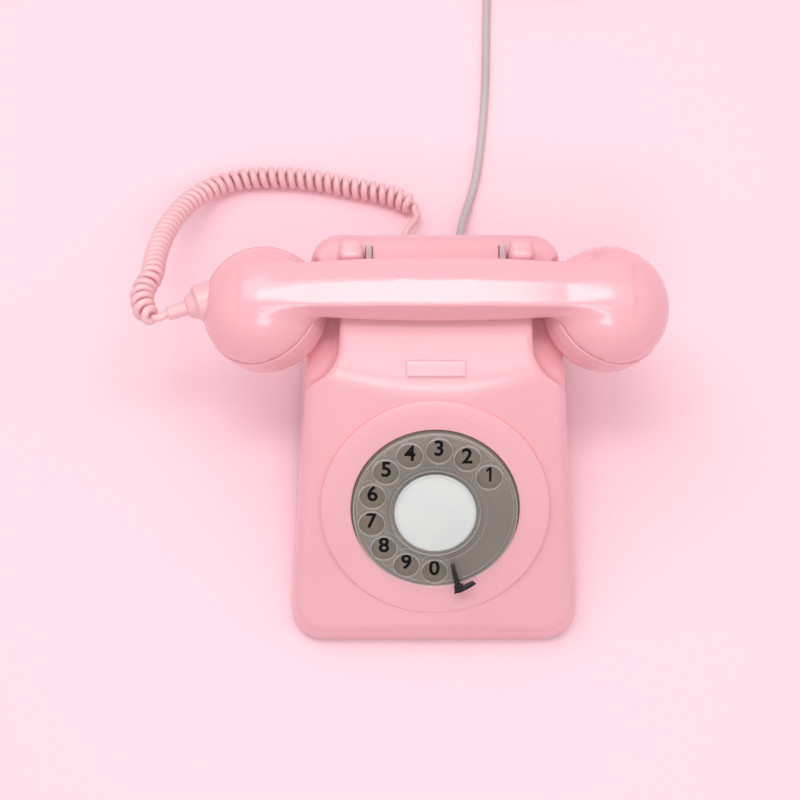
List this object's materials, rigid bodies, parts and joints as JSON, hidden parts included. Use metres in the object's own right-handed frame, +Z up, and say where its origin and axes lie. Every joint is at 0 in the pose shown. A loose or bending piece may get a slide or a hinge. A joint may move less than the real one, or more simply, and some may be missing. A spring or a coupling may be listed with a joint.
{
  "type": "rotary desk telephone",
  "caption": "One-piece rotary desk telephone with a clear finger wheel, a handset across its cradle block, a curly handset cord and a coiled line cord.",
  "frame": {"origin": "bottom centre of the telephone with its handset on, on the table between the feet", "axes": "+Z up, -Y towards the user and the dial, +X to the user's right; the handset lies along X"},
  "size_m": [0.2718, 0.4327, 0.1138],
  "materials": {
    "pink_plastic": "glossy moulded pink",
    "pale_pink_plastic": "satin pale pink",
    "clear_plastic": "clear polished",
    "taupe_plastic": "satin warm grey with black digits",
    "white_card": "matt off-white",
    "black_metal": "black enamel",
    "grey_plastic": "satin grey",
    "dark_rubber": "matt",
    "steel": "zinc-plated",
    "brass": "plain",
    "board": "bare laminate",
    "winding": "varnished winding"
  },
  "bodies": {
    "telephone": {"case_shell": "pink_plastic", "label_plate": "pale_pink_plastic", "base_plate": "steel", "foot_front_left": "dark_rubber", "foot_front_right": "dark_rubber", "foot_rear_left": "dark_rubber", "foot_rear_right": "dark_rubber", "case_screw_front_left": "steel", "case_screw_front_right": "steel", "case_screw_rear_left": "steel", "case_screw_rear_right": "steel", "number_ring": "taupe_plastic", "finger_stop": "black_metal", "dial_plate": "steel", "dial_back_plate": "steel", "mainspring_case": "steel", "impulse_contacts": "brass", "switch_bracket": "steel", "lever_pin": "steel", "hook_switch_contacts": "brass", "bell_frame": "steel", "bell_coil_left": "winding", "bell_coil_right": "winding", "gong_post_left": "steel", "gong_post_right": "steel", "gong_left": "brass", "gong_right": "brass", "circuit_board": "board", "induction_coil": "winding", "capacitor": "steel", "terminal_block": "black_metal", "handset_cord_grommet": "pale_pink_plastic", "line_cord_grommet": "grey_plastic", "handset_cord": "pink_plastic", "line_cord": "grey_plastic", "line_cord_coil": "grey_plastic", "cord_tie": "white_card", "line_plug": "grey_plastic", "plug_latch": "grey_plastic"},
    "dial": {"finger_wheel": "clear_plastic", "centre_label": "white_card", "label_retainer": "clear_plastic", "dial_spindle": "steel", "main_gear": "brass"},
    "governor": {"governor_shaft": "steel", "governor_pinion": "brass", "governor_drum": "brass"},
    "handset": {"handset_shell": "pink_plastic", "earpiece_cap": "pink_plastic", "mouthpiece_cap": "pink_plastic", "receiver_capsule": "steel", "transmitter_capsule": "steel", "handset_cord_nozzle": "pale_pink_plastic"},
    "left_plunger": {"plunger_left": "clear_plastic"},
    "right_plunger": {"plunger_right": "clear_plastic"},
    "hook_lever": {"switch_lever": "steel"},
    "bell_clapper": {"clapper": "steel"}
  },
  "joints": [
    {"name": "dial_turn", "type": "hinge", "parent": "telephone", "child": "dial", "pos_m": [0, -0.04279, 0.05176], "axis": [0, -0.5373, 0.8434], "range_deg": [-330, 0], "stiffness_Nm_per_rad": 0.002, "springref_deg": 114.59},
    {"name": "governor_spin", "type": "hinge", "parent": "telephone", "child": "governor", "pos_m": [-0.02633, -0.02997, 0.05993], "axis": [0, -0.5373, 0.8434], "range_deg": [0, 1320]},
    {"name": "handset_lift", "type": "slide", "parent": "telephone", "child": "handset", "axis": [0, 0, 1], "range_m": [0, 0.12]},
    {"name": "left_plunger_rise", "type": "slide", "parent": "telephone", "child": "left_plunger", "axis": [0, 0.1392, 0.9903], "range_m": [0, 0.005]},
    {"name": "right_plunger_rise", "type": "slide", "parent": "telephone", "child": "right_plunger", "axis": [0, 0.1392, 0.9903], "range_m": [0, 0.005]},
    {"name": "hook_lever_tilt", "type": "hinge", "parent": "telephone", "child": "hook_lever", "pos_m": [0, 0.03857, 0.0763], "axis": [1, 0, 0], "range_deg": [0, 10.5]},
    {"name": "clapper_swing", "type": "hinge", "parent": "telephone", "child": "bell_clapper", "pos_m": [0, 0.0443, 0.0155], "axis": [0, 0, 1], "range_deg": [-8, 8]}
  ],
  "couplings": [
    {"joint": "governor_spin", "follows": "dial_turn", "ratio": -4},
    {"joint": "left_plunger_rise", "follows": "handset_lift", "ratio": 0.041666},
    {"joint": "right_plunger_rise", "follows": "handset_lift", "ratio": 0.041666},
    {"joint": "hook_lever_tilt", "follows": "handset_lift", "rad_per_m": 1.5267}
  ]
}
